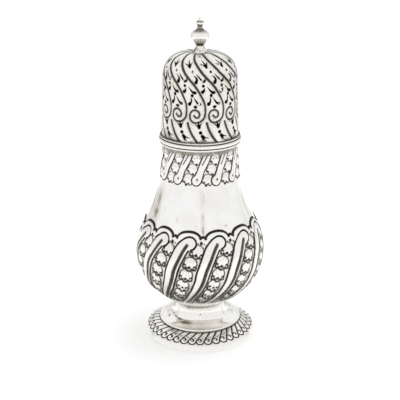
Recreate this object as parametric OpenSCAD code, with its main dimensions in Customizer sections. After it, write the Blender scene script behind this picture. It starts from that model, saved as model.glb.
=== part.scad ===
// Silver sugar caster: a vase-shaped body on a spreading foot, and a pierced cover that lifts off.
// Sizes are in millimetres. The axis of the caster is Z and the foot stands on z = 0.

/* [Foot] */
// Radius of the foot where it stands
foot_r = 35.5; // [33:0.5:42]
// Width of the plain foot rim
foot_rim_w = 3; // [2:0.1:4]
// Height of the foot rim's upright edge
foot_edge_h = 2.4; // [1.5:0.1:3]
// Height of the foot rim where the border meets it
foot_rim_h = 4.5; // [3.5:0.1:6]
// Outer radius of the raised ring above the border
foot_ring_r = 26.4; // [25:0.1:28]
// Height of the raised ring's crown
foot_ring_h = 11.4; // [10:0.1:13]
// Radius of the raised ring's rounded section
foot_ring_bead = 0.9; // [0.6:0.05:1.2]
// Drop from the raised ring's crown to the border
foot_ring_step = 1.7; // [1.2:0.1:2.4]
// How far the border swells above a straight slope
foot_border_swell = 0.6; // [0.2:0.1:1.2]
// Radius of the crease between the dish and the stem
foot_crease_r = 19.3; // [18:0.1:21]
// Height of the crease between the dish and the stem
foot_crease_h = 12.9; // [12:0.1:14.5]
// Radius of the top of the stem
stem_r = 16; // [14:0.1:17]
// Height of the foot up to the body
foot_h = 21.5; // [19:0.5:28]
// Thickness of the foot's sheet
foot_wall = 1; // [0.7:0.1:1.4]

/* [Body] */
// Radius of the body's widest place
belly_r = 40.5; // [36:0.5:48]
// Height of the widest place above the foot
belly_h = 36.5; // [30:0.5:42]
// Radius of the neck at the mouth
neck_r = 23.2; // [21:0.1:26]
// Height of the neck's straight top above the widest place
neck_h = 65.5; // [58:0.5:75]
// Length of the neck's straight top
mouth_h = 5; // [4.5:0.1:8]
// Thickness of the body's sheet
body_wall = 0.9; // [0.7:0.05:1.2]
// How far the moulded wire stands out from the neck
neck_rim_out = 1.7; // [1.2:0.05:2.4]
// Height of the moulded wire round the neck
neck_rim_h = 1.6; // [1.2:0.05:2.2]

/* [Cover] */
// Height of the broad half-round of the cover's wire
cover_roll_h = 2.6; // [2:0.1:3.4]
// How far the half-round stands out from the dome
cover_roll_out = 1.7; // [1.3:0.05:2.4]
// Height of the thin bead above the half-round
cover_bead_h = 1.6; // [1.2:0.05:2.2]
// How far the thin bead stands out from the dome
cover_bead_out = 1.1; // [0.7:0.05:1.6]
// How far the dome's lower edge stands out from the sleeve
dome_ledge = 1.4; // [1:0.05:2]
// How much narrower the dome is at its shoulder
dome_taper = 1.1; // [0:0.1:2]
// Height of the shoulder above the dome's lower edge
dome_side_h = 34; // [28:0.5:40]
// Height of the crown above the shoulder
dome_crown_h = 18.2; // [15:0.1:24]
// Squareness of the shoulder: 2 is an ellipse
dome_power = 2.8; // [2:0.05:3.5]
// Thickness of the dome's sheet
dome_wall = 0.8; // [0.6:0.05:1]
// How far the sleeve reaches down into the neck
bezel_drop = 8; // [5:0.5:14]
// Thickness of the sleeve
bezel_wall = 0.8; // [0.6:0.05:1]

/* [Piercing] */
// Number of pierced panels round the dome
panels = 12; // [8:1:14]
// Radius of the round piercings
dot_r = 0.65; // [0.4:0.05:0.8]
// Radius of the paired piercings
leaf_r = 0.8; // [0.4:0.05:0.9]
// Height of the lowest piercing above the cover's wire
pierce_low = 3.7; // [2:0.1:5]
// Height of the scroll row's lowest piercing above the dome's lower edge
pierce_start = 23.2; // [20:0.2:25]
// Depth of the scroll row's highest piercing below the crown
pierce_top = 5.4; // [5:0.2:9]
// Angle that the scroll row sweeps round the dome
scroll_sweep = 38; // [0:1:45]
// Half the angle between paired piercings
pair_spread = 6; // [4:0.5:7]

/* [Finial] */
// Radius of the flared collar on the crown
collar_r = 4.4; // [3.6:0.1:6]
// Radius of the collar's top
collar_top_r = 2.2; // [1.8:0.1:3]
// Height of the flared collar
collar_h = 3.4; // [1.6:0.1:5]
// Radius of the onion-shaped knop
knop_r = 5.4; // [4.5:0.1:7]
// Height of the knop
knop_h = 11; // [9:0.1:14]
// Radius of the knop's thin top
knop_top_r = 1.4; // [1:0.1:1.9]
// Radius of the flange under the point
tip_r = 2.3; // [1.8:0.1:3.4]
// Height of the flange's top above the knop
tip_flange_h = 2.4; // [1.4:0.1:3.2]
// Thickness of the flange's edge
tip_edge = 0.5; // [0.3:0.1:1]
// Height of the pointed cone
tip_cone_h = 3; // [2:0.1:6]
// Radius of the spigot that holds the finial
spigot_r = 1.1; // [0.8:0.05:1.3]

/* [Fits] */
// Radial clearance of the sleeve in the neck
bezel_clear = 0.08; // [0.04:0.01:0.1]
// Height of the parting line between body and cover
part_gap = 0.1; // [0.05:0.05:0.3]
// Solder gap between pieces that are joined
solder_gap = 0.04; // [0.02:0.01:0.08]

/* [Hidden] */
$fn = 96;
silver = [0.9, 0.9, 0.89];
bright_silver = [0.95, 0.95, 0.94];
curve_steps = 14;
bead_steps = 10;

// Heights of the stack, from the table up
belly_z = foot_h + belly_h;
neck_z = belly_z + neck_h;
mouth_z = neck_z + mouth_h;
cover_z = mouth_z + part_gap;
dome_z = cover_z + cover_roll_h;
shoulder_z = dome_z + dome_side_h;
crown_z = shoulder_z + dome_crown_h;
knop_z = crown_z + collar_h;
tip_z = knop_z + knop_h;

// Radii that mating pieces share
border_out_r = foot_r - foot_rim_w;
ring_in_r = foot_ring_r - 2 * foot_ring_bead;
mouth_r = neck_r - body_wall;
bezel_r = mouth_r - bezel_clear;
dome_r = bezel_r + dome_ledge;
dome_shoulder_r = dome_r - dome_taper;

// Handles of the body's curves: how far each end of a curve holds its direction
base_pull = [0.286 * (belly_r - stem_r), 0.173 * belly_h];
belly_pull_down = [0, -0.64 * belly_h];
belly_pull_up = [0, 0.323 * neck_h];
neck_pull = [0.2 * (belly_r - neck_r), -0.757 * neck_h];

// Points along a cubic curve from a to d with handles b and c
function curve(a, b, c, d, steps) = [
    for (i = [0:steps])
        let (t = i / steps, u = 1 - t)
        u * u * u * a + 3 * u * u * t * b + 3 * u * t * t * c + t * t * t * d
];

// Two runs of points joined where the first ends and the second starts
function join(a, b) = concat(a, [for (i = [1:len(b) - 1]) b[i]]);

// The same points in the other order
function back(p) = [for (i = [len(p) - 1:-1:0]) p[i]];

// Direction of a run of points at one of them
function heading(p, i) = p[min(i + 1, len(p) - 1)] - p[max(i - 1, 0)];

// A run of points moved sideways, to the left of its direction
function beside(p, d) = [
    for (i = [0:len(p) - 1])
        let (h = heading(p, i))
        p[i] + d * [-h.y, h.x] / norm(h)
];

// Points along an arc about a centre, from one angle to another
function arc(centre, size, from, to, steps) = [
    for (i = [0:steps])
        let (a = from + (to - from) * i / steps)
        centre + [size.x * cos(a), size.y * sin(a)]
];

// Outer line of the body from the foot to the straight neck
body_base = [stem_r, foot_h];
belly = [belly_r, belly_z];
neck = [neck_r, neck_z];
body_line = join(
    curve(body_base, body_base + base_pull, belly + belly_pull_down, belly, curve_steps),
    curve(belly, belly + belly_pull_up, neck + neck_pull, neck, 2 * curve_steps));

// Inner line of the body, flat where the bottom closes it
body_inner = [
    for (p = beside(body_line, body_wall))
        if (p.y < neck_z)
            [p.x, max(p.y, foot_h + body_wall)]
];

// Outer line of the dome from its lower edge to the crown: a slight taper, then a squared shoulder
function dome_point(a) = [
    dome_shoulder_r * pow(cos(a), 2 / dome_power),
    shoulder_z + dome_crown_h * pow(sin(a), 2 / dome_power)
];
crown_cut = 86;
dome_line = concat(
    [[dome_r, dome_z]],
    [for (i = [0:curve_steps]) dome_point(crown_cut * i / curve_steps)]);

// Radius and slope of the dome at a height above its lower edge
function dome_turn(h) = asin(pow(max(0, h - dome_side_h) / dome_crown_h, dome_power / 2));
function dome_radius(h) = h < dome_side_h
    ? dome_r + (dome_shoulder_r - dome_r) * h / dome_side_h
    : dome_shoulder_r * pow(cos(dome_turn(h)), 2 / dome_power);
function dome_lean(h) = atan2(dome_radius(h - dome_wall) - dome_radius(h + dome_wall), 2 * dome_wall);

// Azimuth of the pierced scroll at a height: it sweeps round faster towards the crown
front = -94;
scroll_rows = 7;
scroll_power = 1.3;
scroll_rise = dome_side_h + dome_crown_h - pierce_top - pierce_start;
low_rows = 3;
low_step = 3.2;
function scroll(h) = -scroll_sweep * pow((h - pierce_start) / scroll_rise, scroll_power);

// Outer line of the foot's dish and stem
crease = [foot_crease_r, foot_crease_h];
dish_edge = [ring_in_r - solder_gap, foot_ring_h - foot_ring_bead];
dish_size = dish_edge - crease;
stem_top = [stem_r, foot_h];
stem_size = stem_top - crease;
foot_line = join(
    curve(dish_edge, [dish_edge.x - 0.4 * dish_size.x, dish_edge.y - 0.1 * dish_size.y],
        [crease.x + 0.4 * dish_size.x, crease.y + 0.5 * dish_size.y], crease, curve_steps),
    curve(crease, [crease.x + 0.55 * stem_size.x, crease.y + 0.16 * stem_size.y],
        [stem_top.x, stem_top.y - 0.46 * stem_size.y], stem_top, curve_steps));

// Inner line of the foot's dish and stem, cut square at both ends
foot_inner = [
    for (p = beside(foot_line, foot_wall))
        [min(p.x, dish_edge.x), min(p.y, foot_h)]
];

// Outer line of the border, from the raised ring down to the rim
border_top = [foot_ring_r, foot_ring_h - foot_ring_step];
border_foot = [border_out_r - solder_gap, foot_rim_h];
border_mid = (border_top + border_foot) / 2 + [0.7, 1] * foot_border_swell;
border_line = curve(border_top, (border_top + 2 * border_mid) / 3,
    (border_foot + 2 * border_mid) / 3, border_foot, curve_steps);

// A ring with a flat inner side and a rounded outer side
module moulded_ring(inner_r, outer_r, z, h) {
    round_out = min(h / 2, outer_r - inner_r);
    rotate_extrude()
        polygon(concat(
            [[inner_r, z]],
            arc([outer_r - round_out, z + h / 2], [round_out, h / 2], -90, 90, bead_steps),
            [[inner_r, z + h]]));
}

// Vase-shaped body, raised from one sheet with a closed bottom
module body_shell() {
    color(silver)
        rotate_extrude()
            polygon(concat(
                [[0, foot_h]],
                body_line,
                [[neck_r, mouth_z], [mouth_r, mouth_z], [mouth_r, neck_z]],
                back(body_inner),
                [[0, foot_h + body_wall]]));
}

// Moulded wire soldered round the mouth
module neck_rim() {
    color(bright_silver)
        moulded_ring(neck_r + solder_gap, neck_r + neck_rim_out, mouth_z - neck_rim_h, neck_rim_h);
}

// Stem and shallow dish of the foot
module foot_dome() {
    color(silver)
        rotate_extrude()
            polygon(concat(foot_line, back(foot_inner)));
}

// Sloping border under a raised ring
module foot_border() {
    ring_centre = [foot_ring_r - foot_ring_bead, foot_ring_h - foot_ring_bead];
    under = beside(border_line, -foot_wall);
    color(silver)
        rotate_extrude()
            polygon(concat(
                arc(ring_centre, [foot_ring_bead, foot_ring_bead], 180, 0, bead_steps),
                border_line,
                [[border_foot.x, under[len(under) - 1].y]],
                back([for (p = under) if (p.x < border_foot.x && p.x > ring_in_r) p]),
                [[ring_in_r, dish_edge.y - foot_wall]]));
}

// Heavy plain edge that stands on the table
module foot_rim() {
    color(bright_silver)
        rotate_extrude()
            polygon([[border_out_r, 0], [foot_r, 0], [foot_r, foot_edge_h], [border_out_r, foot_rim_h]]);
}

// One hole through the dome, square to its surface
module piercing(turn, h, r) {
    rotate([0, 0, turn])
        translate([dome_radius(h), 0, dome_z + h])
            rotate([0, 90 - dome_lean(h), 0])
                cylinder(r = r, h = 4 * dome_wall, center = true, $fn = 24);
}

// The holes of one panel: a scroll row of dots and pairs, and a short row under the scroll
module panel_piercings() {
    for (i = [0:scroll_rows]) {
        h = pierce_start + i * scroll_rise / scroll_rows;
        if (i % 2 == 0)
            piercing(scroll(h), h, dot_r);
        else
            for (side = [-1, 1])
                piercing(scroll(h) + side * pair_spread, h, leaf_r);
    }
    for (i = [0:low_rows - 1])
        piercing(pair_spread, cover_bead_h + pierce_low + i * low_step, i % 2 == 0 ? leaf_r : dot_r);
}

// Raised dome, pierced all round, with a hole in the crown for the finial
module cover_dome() {
    inner_line = beside(dome_line, dome_wall);
    crown = dome_line[len(dome_line) - 1];
    color(silver)
        difference() {
            rotate_extrude()
                polygon(concat(
                    dome_line,
                    [[0, crown_z], [0, crown_z - dome_wall]],
                    back([for (p = inner_line) if (p.y > dome_z && p.y < crown.y - dome_wall) p]),
                    [[dome_r - dome_wall, dome_z]]));
            for (k = [0:panels - 1])
                rotate([0, 0, front + k * 360 / panels])
                    panel_piercings();
            translate([0, 0, crown_z - 3 * dome_wall])
                cylinder(r = spigot_r + solder_gap, h = 6 * dome_wall);
        }
}

// Moulded wire of the cover: a broad half-round under a thin bead, with a ledge that the dome sits on
module cover_rim() {
    color(bright_silver) {
        moulded_ring(bezel_r + solder_gap, dome_r + cover_roll_out, cover_z, cover_roll_h);
        moulded_ring(dome_r + solder_gap, dome_r + cover_bead_out, dome_z, cover_bead_h);
    }
}

// Plain sleeve that pushes into the mouth of the body
module cover_bezel() {
    color(silver)
        rotate_extrude()
            translate([bezel_r - bezel_wall, mouth_z - bezel_drop])
                square([bezel_wall, dome_z - mouth_z + bezel_drop]);
}

// Flared bell that carries the knop
module finial_collar() {
    foot = [collar_r, crown_z];
    top = [collar_top_r, knop_z];
    flare = top - foot;
    color(bright_silver)
        rotate_extrude()
            polygon(concat(
                [[spigot_r + solder_gap, crown_z]],
                curve(foot, [foot.x + 0.55 * flare.x, foot.y + 0.15 * flare.y],
                    [top.x, top.y - 0.5 * flare.y], top, curve_steps),
                [[spigot_r + solder_gap, knop_z]]));
}

// Onion-shaped knop on a spigot that passes through the collar and the crown
module finial_knop() {
    base = [collar_top_r, knop_z];
    widest = [knop_r, knop_z + knop_h / 2];
    top = [knop_top_r, tip_z];
    round_up = [0, 0.27 * knop_h];
    round_down = [0, 0.17 * knop_h];
    round_out = [0.45 * (knop_r - collar_top_r), 0.13 * knop_h];
    color(bright_silver)
        rotate_extrude()
            polygon(concat(
                [[0, crown_z - dome_wall], [spigot_r, crown_z - dome_wall], [spigot_r, knop_z]],
                join(
                    curve(base, base + round_out, widest - round_down, widest, curve_steps),
                    curve(widest, widest + round_up, top - round_up, top, curve_steps)),
                [[0, tip_z]]));
}

// Point on a flange that flares out from the knop's thin top, with a hollow-sided cone
module finial_tip() {
    edge = [tip_r, tip_z + tip_flange_h];
    top = [0.12 * tip_r, edge.y + tip_cone_h];
    color(bright_silver)
        rotate_extrude()
            polygon(concat(
                [[0, tip_z], [knop_top_r, tip_z], edge - [0, tip_edge]],
                curve(edge, [0.45 * edge.x, edge.y + 0.15 * tip_cone_h],
                    [0.3 * edge.x, edge.y + 0.5 * tip_cone_h], top, bead_steps),
                [[0, top.y]]));
}

body_shell();
neck_rim();
foot_dome();
foot_border();
foot_rim();
cover_dome();
cover_rim();
cover_bezel();
finial_collar();
finial_knop();
finial_tip();
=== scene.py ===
import math

import bpy
import numpy as np
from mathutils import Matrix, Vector


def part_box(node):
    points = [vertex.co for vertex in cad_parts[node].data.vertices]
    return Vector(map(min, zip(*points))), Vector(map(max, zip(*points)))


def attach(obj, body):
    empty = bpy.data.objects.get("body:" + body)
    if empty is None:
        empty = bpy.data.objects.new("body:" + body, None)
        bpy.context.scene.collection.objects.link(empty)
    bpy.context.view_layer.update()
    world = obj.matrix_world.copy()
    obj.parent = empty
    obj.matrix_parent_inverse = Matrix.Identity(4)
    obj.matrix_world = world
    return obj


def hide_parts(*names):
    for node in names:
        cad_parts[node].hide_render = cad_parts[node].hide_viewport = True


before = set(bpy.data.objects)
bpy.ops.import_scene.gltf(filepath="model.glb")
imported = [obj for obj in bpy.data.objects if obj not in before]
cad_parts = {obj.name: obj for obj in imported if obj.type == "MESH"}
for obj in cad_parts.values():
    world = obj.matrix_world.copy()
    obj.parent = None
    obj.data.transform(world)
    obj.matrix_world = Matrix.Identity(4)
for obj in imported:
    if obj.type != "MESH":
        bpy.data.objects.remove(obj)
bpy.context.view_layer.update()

# Sizes in millimetres, read from the boxes of the solids
MM = 0.001


def reach(node):
    """Radius, lowest height and highest height of a turned solid."""
    low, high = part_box(node)
    return high.x / MM, low.z / MM, high.z / MM


foot_r, _, foot_rim_h = reach("foot_rim")
border_out_r, _, foot_ring_h = reach("foot_border")
dish_r, _, foot_h = reach("foot_dome")
belly_r, _, mouth_z = reach("body_shell")
neck_rim_r, neck_rim_z, _ = reach("neck_rim")
cover_rim_r, cover_z, cover_bead_z = reach("cover_rim")
dome_r, dome_z, crown_z = reach("cover_dome")
bezel_r, bezel_z, _ = reach("cover_bezel")
collar_r, _, knop_z = reach("finial_collar")
knop_r, _, tip_z = reach("finial_knop")
tip_r, _, top_z = reach("finial_tip")

# Sizes that no box shows
solder_gap = 0.04
axis_gap = 0.01
foot_edge_h = 2.4
foot_rim_w = 3
foot_rim_wall = 1.4
ring_bead = 0.9
ring_drop = 1.7
border_swell = 0.6
crease_r = 18.4
crease_h = 13.2
stem_r = 15.1
foot_wall = 1
body_wall = 0.9
mouth_h = 5
neck_r = 23.2
belly_h = 36.5
chase_depth = 1.8
bead_inset = 0.6
bezel_wall = 0.8
dome_wall = 0.8
dome_taper = 1.1
dome_side_h = 34
dome_power = 2.8
crown_sag = 1.3
sag_r = (3, 10.5)
bell_flare = 0.4
collar_top_r = 2.2
knop_top_r = 1.4
spigot_r = 1.1
tip_flange_h = 2.4
tip_edge = 0.5

# The foot's border is flatter than its solid, and its ring and dish sit a little further in
border_spread = 1.5
border_lift = 0.65
dish_inset = 0.45
border_out_r += border_spread
foot_rim_h += border_lift
dish_r -= dish_inset

belly_z = foot_h + belly_h
neck_z = mouth_z - mouth_h
mouth_r = neck_r - body_wall
shoulder_z = dome_z + dome_side_h
shoulder_r = dome_r - dome_taper
crown_h = crown_z - shoulder_z
ring_r = dish_r + solder_gap + 2 * ring_bead
bell_r = collar_r + bell_flare
bell_z = crown_z - crown_sag


# Lines of the turned shapes
def curve(a, b, c, d, steps=40):
    """Points along a cubic curve from a to d with handles b and c."""
    a, b, c, d = (np.array(p, float) for p in (a, b, c, d))
    t = np.linspace(0, 1, steps + 1)[:, None]
    u = 1 - t
    return u**3 * a + 3 * u * u * t * b + 3 * u * t * t * c + t**3 * d


def sweep(a, b, leave, arrive, steps):
    """A curve from a to b; its handles are shares of the way between them, across and up."""
    a, b = np.array(a, float), np.array(b, float)
    return curve(a, a + leave * (b - a), b - arrive * (b - a), b, steps)


def arc(centre, size, start, end, steps=14):
    """Points along an arc about a centre, from one angle in degrees to another."""
    a = np.radians(np.linspace(start, end, steps + 1))
    return np.stack([centre[0] + size[0] * np.cos(a), centre[1] + size[1] * np.sin(a)], -1)


def rounded(corners, steps=5):
    """A closed line through (radius, height, rounding) corners, each rounded by a short curve."""
    p = np.array([c[:2] for c in corners], float)
    t = np.linspace(0, 1, steps + 1)[:, None]
    runs = []
    for i, (here, corner) in enumerate(zip(p, corners)):
        before = p[i - 1] - here
        after = p[(i + 1) % len(p)] - here
        a = here + before / np.hypot(*before) * corner[2]
        b = here + after / np.hypot(*after) * corner[2]
        runs.append((1 - t) ** 2 * a + 2 * t * (1 - t) * here + t * t * b)
    return np.vstack(runs)


def beside(line, distance):
    """The line moved to the left of its direction."""
    ahead = np.gradient(line, axis=0)
    left = np.stack([-ahead[:, 1], ahead[:, 0]], -1)
    return line + distance * left / np.hypot(*ahead.T)[:, None]


class Line:
    """A run of (radius, height) points, measured along its length from its lower end."""

    # Points closer than this count as one, and directions are taken over this far to both sides
    least_step = 1e-6
    side_reach = 0.4

    def __init__(self, *runs):
        points = np.vstack(runs)
        steps = np.hypot(*np.diff(points, axis=0).T)
        apart = steps > self.least_step
        self.points = points[np.concatenate([[True], apart])]
        self.s = np.concatenate([[0], np.cumsum(steps[apart])])
        self.length = self.s[-1]

    def at(self, s):
        """Points at lengths along the line."""
        return np.stack([np.interp(s, self.s, self.points[:, i]) for i in (0, 1)], -1)

    def out(self, s):
        """Unit vectors square to the line, pointing out of the metal."""
        ahead = self.at(np.minimum(s + self.side_reach, self.length))
        ahead = ahead - self.at(np.maximum(s - self.side_reach, 0))
        return np.stack([ahead[:, 1], -ahead[:, 0]], -1) / np.hypot(*ahead.T)[:, None]

    def along(self, height):
        """Length along the line at which it passes a height."""
        return float(np.interp(height, self.points[:, 1], self.s))

    def raised(self, s, height):
        """Points of a grid with a row at each length, moved out of the metal by its heights."""
        return self.at(s)[:, None] + self.out(s)[:, None] * height[..., None]


body_line = Line(
    sweep((stem_r, foot_h), (belly_r, belly_z), (0.286, 0.173), (0, 0.64), 160),
    sweep((belly_r, belly_z), (neck_r, neck_z), (0, 0.323), (0.2, 0.757), 240),
    [(neck_r, mouth_z)],
)

quarter = np.radians(np.linspace(0, 90, 121))
dome_side = shoulder_r * np.abs(np.cos(quarter)) ** (2 / dome_power)
dome_up = shoulder_z + crown_h * np.sin(quarter) ** (2 / dome_power)
dome_line = Line([(dome_r, dome_z)], np.stack([dome_side, dome_up], -1))

border_top = np.array([ring_r, foot_ring_h - ring_drop])
border_foot = np.array([border_out_r, foot_rim_h])
border_mid = (border_top + border_foot) / 2 + np.array([0.7, 1]) * border_swell
border_line = Line(
    curve(border_foot, (border_foot + 2 * border_mid) / 3, (border_top + 2 * border_mid) / 3, border_top)
)


# Flat drawing of one repeat of an ornament: x runs round the piece, y up along its line
def smooth(points, steps=8):
    """A smooth run through the given points."""
    p = np.array(points, float)
    p = np.vstack([2 * p[0] - p[1], p, 2 * p[-1] - p[-2]])
    t = np.linspace(0, 1, steps, endpoint=False)[:, None]
    runs = []
    for a, b, c, d in zip(p, p[1:], p[2:], p[3:]):
        bend = (2 * a - 5 * b + 4 * c - d) * t**2 + (3 * b - a - 3 * c + d) * t**3
        runs.append(b + 0.5 * ((c - a) * t + bend))
    return np.vstack(runs + [p[-2:-1]])


class Chart:
    """A flat drawing that repeats round the piece."""

    # Distances to lines and to strokes are measured up to these limits
    far = 4.0
    stroke_far = 9.0
    least_stroke_r = 0.05

    def __init__(self, count, radius):
        self.period = 360 / count
        self.scale = math.radians(radius)
        self.pitch = self.period * self.scale

    def draw(self, points):
        """A smooth line through (degrees, millimetres) points, in chart millimetres."""
        return smooth(points) * (self.scale, 1)

    def place(self, degrees):
        """Chart millimetres of a turn, from the start of its repeat."""
        return np.mod(degrees, self.period) * self.scale

    def copies(self, low, high, margin):
        """Shifts of the copies of a form from low to high that come near the first repeat."""
        shifts = [k * self.pitch for k in range(-4, 5)]
        return [k for k in shifts if high + k > -margin and low + k < self.pitch + margin]

    def near(self, x, y, line):
        """Distance to the nearest copy of a line, up to the limit far."""
        best = np.full(x.shape, self.far)
        for (ax, ay), (bx, by) in zip(line, line[1:]):
            dx, dy = bx - ax, by - ay
            size = dx * dx + dy * dy
            for shift in self.copies(min(ax, bx), max(ax, bx), self.far):
                px, py = x - ax - shift, y - ay
                t = np.clip((px * dx + py * dy) / size, 0, 1)
                best = np.minimum(best, np.hypot(px - t * dx, py - t * dy))
        return best

    def inside(self, x, y, ring):
        """True inside any copy of a closed line."""
        hit = np.zeros(x.shape, bool)
        for shift in self.copies(ring[:, 0].min(), ring[:, 0].max(), 0):
            crossed = np.zeros(x.shape, bool)
            for (ax, ay), (bx, by) in zip(ring, np.roll(ring, -1, axis=0)):
                if ay != by:
                    spans = (ay > y) != (by > y)
                    crossed ^= spans & (x - shift < ax + (y - ay) * (bx - ax) / (by - ay))
            hit |= crossed
        return hit

    def stroke(self, x, y, points):
        """Signed distance to the copies of a stroke of (degrees, millimetres, radius) points."""
        path = smooth(points, 6) if len(points) > 1 else np.array(points, float)
        best = np.full(x.shape, self.stroke_far)
        for cx, cy, r in path * (self.scale, 1, 1):
            for shift in self.copies(cx - r, cx + r, 3):
                best = np.minimum(best, np.hypot(x - cx - shift, y - cy) - max(r, self.least_stroke_r))
        return best

    def local(self, x, y, centre, size):
        """Places seen from the nearest copy of a centre, in units of size."""
        dx = np.mod(x - centre[0] * self.scale + self.pitch / 2, self.pitch) - self.pitch / 2
        return dx / size, (y - centre[1]) / size

    def away(self, x, y, centre):
        """Distance to the nearest copy of a centre."""
        return np.hypot(*self.local(x, y, centre, 1))


def step(value, low, high):
    """Smooth rise from 0 at low to 1 at high."""
    t = np.clip((value - low) / (high - low), 0, 1)
    return t * t * (3 - 2 * t)


def groove(distance, width):
    """Rounded cut of depth 1, width wide."""
    return np.clip(1 - (2 * distance / width) ** 2, 0, 1) ** 1.5


def ink(distance, width):
    """Oxide in a cut, with a soft edge."""
    return 1 - step(distance, 0.28 * width, 0.62 * width)


def pillow(distance, width):
    """Rounded rise from 0 at an edge to 1 at width in from it."""
    t = 1 - np.clip(distance / width, 0, 1)
    return np.sqrt(1 - t * t)


def cut_lines(height, oxide, cuts):
    """Cuts lines into a relief, each a distance, a depth, a width, and its oxide's depth and width."""
    for distance, depth, width, dark, dark_width in cuts:
        height = height - depth * groove(distance, width)
        oxide = np.maximum(oxide, dark * ink(distance, dark_width))
    return height, oxide


def turned_by(a, b, angle):
    """Places seen from a frame turned by an angle."""
    return a * math.cos(angle) - b * math.sin(angle), a * math.sin(angle) + b * math.cos(angle)


def spots(turn, height, marks):
    """Darkening by soft marks, of oxide, painted shade or painted reflections; each a turn, a height, a
    width round, a width up and a depth.
    """
    oxide = np.zeros(np.broadcast(turn, height).shape)
    for at, level, wide, tall, depth in marks:
        away = (np.mod(turn - at + 180, 360) - 180) / wide
        oxide = np.maximum(oxide, depth * np.exp(-(away**2) - ((height - level) / tall) ** 2))
    return oxide


def by_hand(turn, wander, seed):
    """Small uneven drift round the piece, as hand chasing has."""
    a = np.radians(turn)
    drift = np.sin(3 * a + seed) + 0.7 * np.sin(5 * a + 2.3 * seed) + 0.5 * np.sin(11 * a + 4.1 * seed)
    return wander * drift / 2


# Husk: a round cap over three lobes, in units of half its width
cap_w = 0.95
cap_h = 0.84
cap_up = 0.12
lobes_across = (-0.64, 0, 0.64)
lobe_r = 0.33
# Drilled dots of a husk: place across, place up and width
bowl_dots = [(0, -0.62, 0.54), (-0.74, -0.34, 0.36), (-0.56, -0.66, 0.3), (0.72, -0.32, 0.34),
             (0.62, -0.66, 0.3), (-1.0, -0.86, 0.36), (1.0, -0.8, 0.36)]
low_dots = [(-0.62, -0.22, 0.42), (0.04, -0.4, 0.46), (0.62, -0.34, 0.42), (-0.9, -0.62, 0.34),
            (0.4, -0.86, 0.4)]
neck_dots = [(-0.66, -0.84, 0.5), (0.6, -0.88, 0.5)]


def husk(a, b, dots, outline, cap):
    """Height, oxide and edge of a bellflower husk about its middle.

    The oxide along its edge is outline deep, and cap is the share of that over the cap."""
    edge = np.hypot(a / cap_w, (b - cap_up) / cap_h)
    rise = np.sqrt(np.clip(1 - edge**2, 0, 1))
    for across in lobes_across:
        low = -0.74 + 0.36 * abs(across)
        d = np.hypot(a - across, b - low) / lobe_r
        rise = np.maximum(rise, 0.65 * np.sqrt(np.clip(1 - d**2, 0, 1)))
        edge = np.minimum(edge, 1 + lobe_r * (d - 1))
    rim = step(edge, 0.9, 1.0) * (1 - step(edge, 1.1, 1.3))
    dark = rim * outline * (1 - (1 - cap) * step(b, -0.4, 0.5))
    # Fine veins fan out down the cap
    veins = np.clip(np.cos(15 * a / (1.2 - 0.4 * np.clip(b, -1, 1))), 0, 1)
    dark = np.maximum(dark, (0.04 + 0.13 * veins) * step(rise, 0.2, 0.6))
    cut = np.zeros(a.shape)
    for x, y, size in dots:
        d = np.hypot(a - x, b - y)
        cut = np.maximum(cut, groove(d, 1.1 * size))
        dark = np.maximum(dark, ink(d, size))
    return rise - 0.5 * cut, dark, edge


# Bowl: crooked flutes with a deep channel, chains of husks between them and a scalloped upper edge
repeats = 12
bowl = Chart(repeats, 40)
flute_edge = bowl.draw(
    [(-74, 0), (-64, 5), (-49, 13), (-39, 20), (-34, 25), (-29, 31.4), (-25, 38.6), (-23, 44.6),
     (-20.5, 50.2), (-17.3, 56.4), (-13.8, 61.6), (-8.5, 65.3), (-2.4, 67.4), (2.8, 67.1), (5.9, 65.1),
     (6.3, 62.7), (4.3, 60.6), (1.2, 59.5)]
)
channel_points = [(-67, 0), (-57, 5), (-42, 13), (-32.2, 20), (-27.2, 25), (-21.8, 31.4), (-17.2, 38.6),
                  (-14.2, 46), (-10.6, 52), (-6.3, 58.4), (-2.6, 62.3)]
channel = bowl.draw(channel_points)
panel_edge = bowl.draw(
    [(-61.6, 0), (-51.6, 5), (-37.1, 13), (-27.9, 20), (-23.3, 25.5), (-17.8, 31.4), (-13.5, 38.6),
     (-10.5, 45), (-7.2, 50.8), (-3.7, 55.8), (-1, 59)]
)
flute_ring = np.vstack([flute_edge, panel_edge[::-1]])
husk_chain = [(13, 66), (7.4, 58.9), (1.2, 51.2), (-2.7, 43.5), (-6.6, 36), (-10.8, 28.2), (-16.6, 21.2),
              (-25, 14.6), (-36, 8)]
husk_size = 4.1
husk_rise = 0.85
high_husks_from = 40
# Punched dots, here and on the neck: degrees round, millimetres up, width
bowl_punches = [(11.3, 63.8, 1.9), (8.4, 63.6, 0.7), (14.5, 63.4, 0.8), (13.4, 61, 0.7)]
chased_from = 15.5
bowl_start = 10.1
panel_depth = 0.5
flute_rise = 0.75
flute_round = 3
band_w = 3.2
band_rise = 0.5
bowl_settle = 0.45
# How far the upper edge sinks round the back, and how many degrees the flute heads crowd on one side
back_dip = 1.8
crowding = 4.8

# Upper edge: a broad arch over each flute head and a small one between
scallop_from = -14
scallop_h = 66.4
arch_h = 4.3
arch_half = 12.3
arch_mid = -1.8
bump_h = 1.2
bump_from = 10.4
bump_w = 5.6


def scallop(turn):
    """Height of the upper edge."""
    u = np.mod(turn - scallop_from, bowl.period) + scallop_from
    arch = np.sqrt(np.clip(1 - (np.abs(u - arch_mid) / arch_half) ** 2.2, 0, 1))
    bump = np.sin(np.pi * np.clip((u - bump_from) / bump_w, 0, 1))
    return np.maximum(scallop_h + arch_h * arch, scallop_h + bump_h * bump)


scallop_to = scallop_from + bowl.period
scallop_turns = np.linspace(scallop_from, scallop_to, 61)
scallop_heights = scallop(np.linspace(scallop_from, scallop_to - 0.01, 61))
scallop_line = np.stack([scallop_turns * bowl.scale, scallop_heights], -1)


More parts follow.
